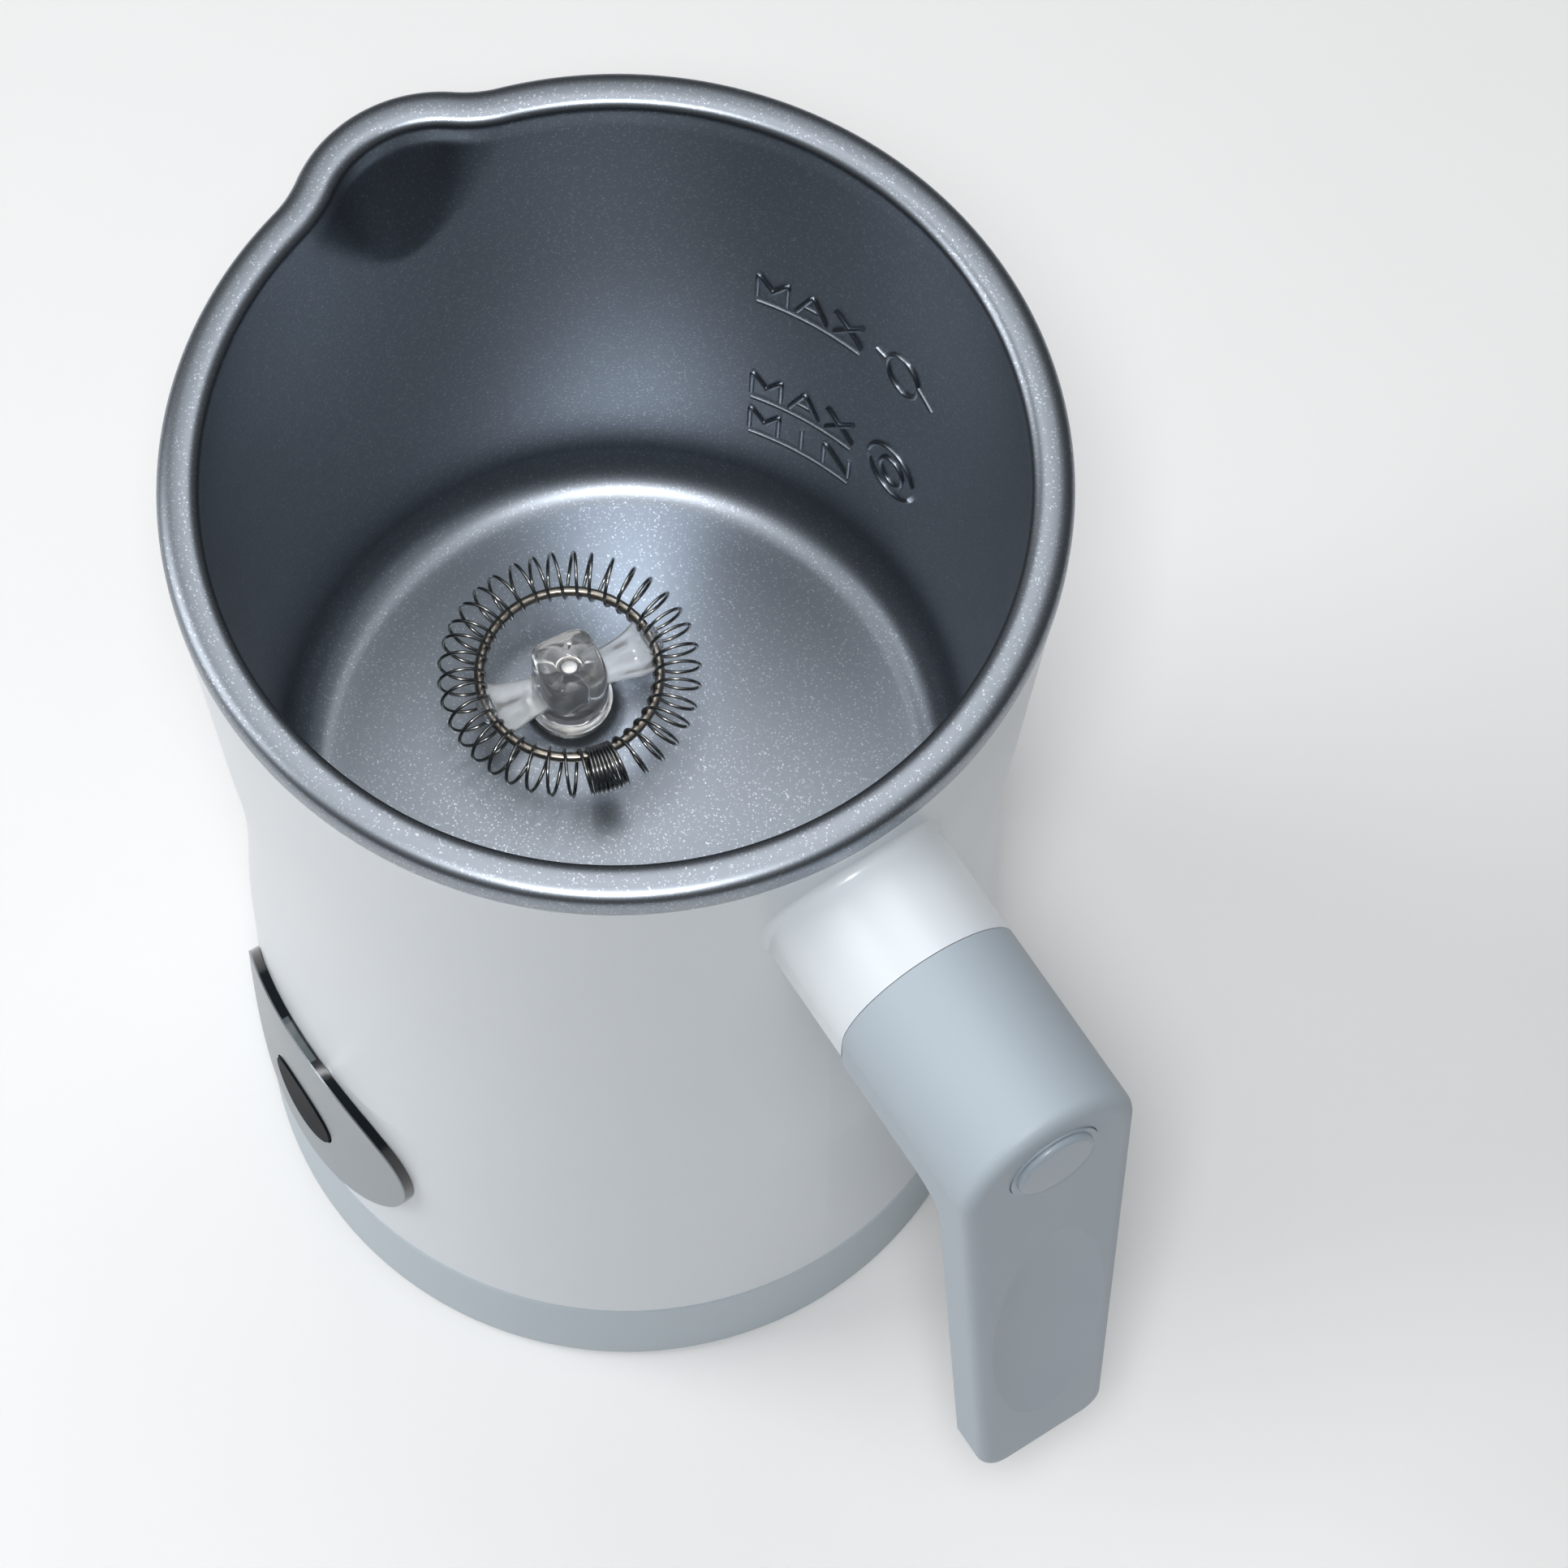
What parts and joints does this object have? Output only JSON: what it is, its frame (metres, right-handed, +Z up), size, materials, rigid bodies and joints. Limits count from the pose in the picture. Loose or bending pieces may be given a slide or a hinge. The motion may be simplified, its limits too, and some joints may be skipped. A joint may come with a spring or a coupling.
{
  "type": "milk frother",
  "caption": "Jug-style electric milk frother on a power base, with a spouted coated cup, a spring whisk, an L-shaped handle and a round start panel.",
  "frame": {"origin": "jug axis at the underside of the foot ring, on the table plane", "axes": "+Z up along the jug axis, +X towards the handle, -Y towards the control panel, -X towards the pouring spout"},
  "size_m": [0.1466, 0.1004, 0.1727],
  "materials": {
    "white_shell": "white injection-moulded plastic, soft gloss",
    "cup_coating": "dark grey-blue non-stick coating with fine bright flakes",
    "rim_seal_rubber": "grey silicone",
    "grey_body": "grey-blue moulded plastic, fine matt texture",
    "grey_soft_touch": "grey-blue soft-touch plastic",
    "handle_cap_plastic": "grey-blue plastic, satin dome",
    "dark_plastic": "black glass-filled plastic",
    "foot_rubber": "black rubber",
    "screw_steel": "zinc-plated steel",
    "contact_brass": "plated brass",
    "motor_steel": "drawn steel",
    "spindle_steel": "ground stainless steel",
    "nylon": "natural nylon",
    "heater_aluminium": "die-cast aluminium and sheathed element",
    "board_green": "green solder mask",
    "component_black": "moulded epoxy",
    "lead_insulation": "red silicone insulation",
    "lens_smoke": "smoked clear plastic",
    "bezel_black": "piano-black plastic",
    "panel_silver": "silver-grey lacquered plastic",
    "button_black": "dark charcoal plastic",
    "clear_plastic": "clear moulded copolyester",
    "whisk_wire": "bright stainless spring wire with bronze reflections"
  },
  "bodies": {
    "power_base": {"base_housing": "grey_body", "base_plate": "dark_plastic", "foot_ring": "foot_rubber", "base_screws": "screw_steel", "base_connector": "dark_plastic", "base_contacts": "contact_brass", "cord_gland": "foot_rubber"},
    "jug": {"outer_shell": "white_shell", "inner_cup": "cup_coating", "rim_seal": "rim_seal_rubber", "bottom_cover": "dark_plastic", "jug_connector": "dark_plastic", "jug_contacts": "contact_brass", "jug_screws": "screw_steel", "motor_bracket": "dark_plastic", "motor_can": "motor_steel", "motor_screws": "screw_steel", "spindle_bush": "spindle_steel", "spindle_seal": "rim_seal_rubber", "bush_nut": "screw_steel", "heater_plate": "heater_aluminium", "heater_element": "heater_aluminium", "heater_leads": "lead_insulation", "temperature_sensor": "contact_brass", "thermal_cutout": "motor_steel", "control_board": "board_green", "board_screws": "screw_steel", "power_relay": "component_black", "filter_capacitor": "component_black", "microcontroller": "component_black", "indicator_lens": "lens_smoke", "panel_bezel": "bezel_black", "panel_face": "panel_silver", "switch_board": "board_green", "tact_switch": "component_black", "handle": "grey_soft_touch", "handle_screw": "screw_steel", "stub_insert": "contact_brass", "handle_cap": "handle_cap_plastic"},
    "rotor": {"motor_shaft": "motor_steel", "shaft_coupling": "nylon", "drive_spindle": "spindle_steel"},
    "whisk": {"whisk_hub": "clear_plastic", "whisk_ring": "whisk_wire", "whisk_spring": "whisk_wire"},
    "button": {"start_button": "button_black", "button_stem": "button_black"}
  },
  "joints": [
    {"name": "jug_lift", "type": "slide", "parent": "power_base", "child": "jug", "axis": [0, 0, 1], "range_m": [0, 0.06]},
    {"name": "spindle_spin", "type": "hinge", "parent": "jug", "child": "rotor", "pos_m": [-0.0118, 0, 0.08], "axis": [0, 0, 1], "continuous": true},
    {"name": "whisk_lift", "type": "slide", "parent": "rotor", "child": "whisk", "axis": [0, 0, 1], "range_m": [0, 0.1]},
    {"name": "button_press", "type": "slide", "parent": "jug", "child": "button", "axis": [0, 1, 0], "range_m": [0, 0.0012], "stiffness_N_per_m": 800}
  ]
}
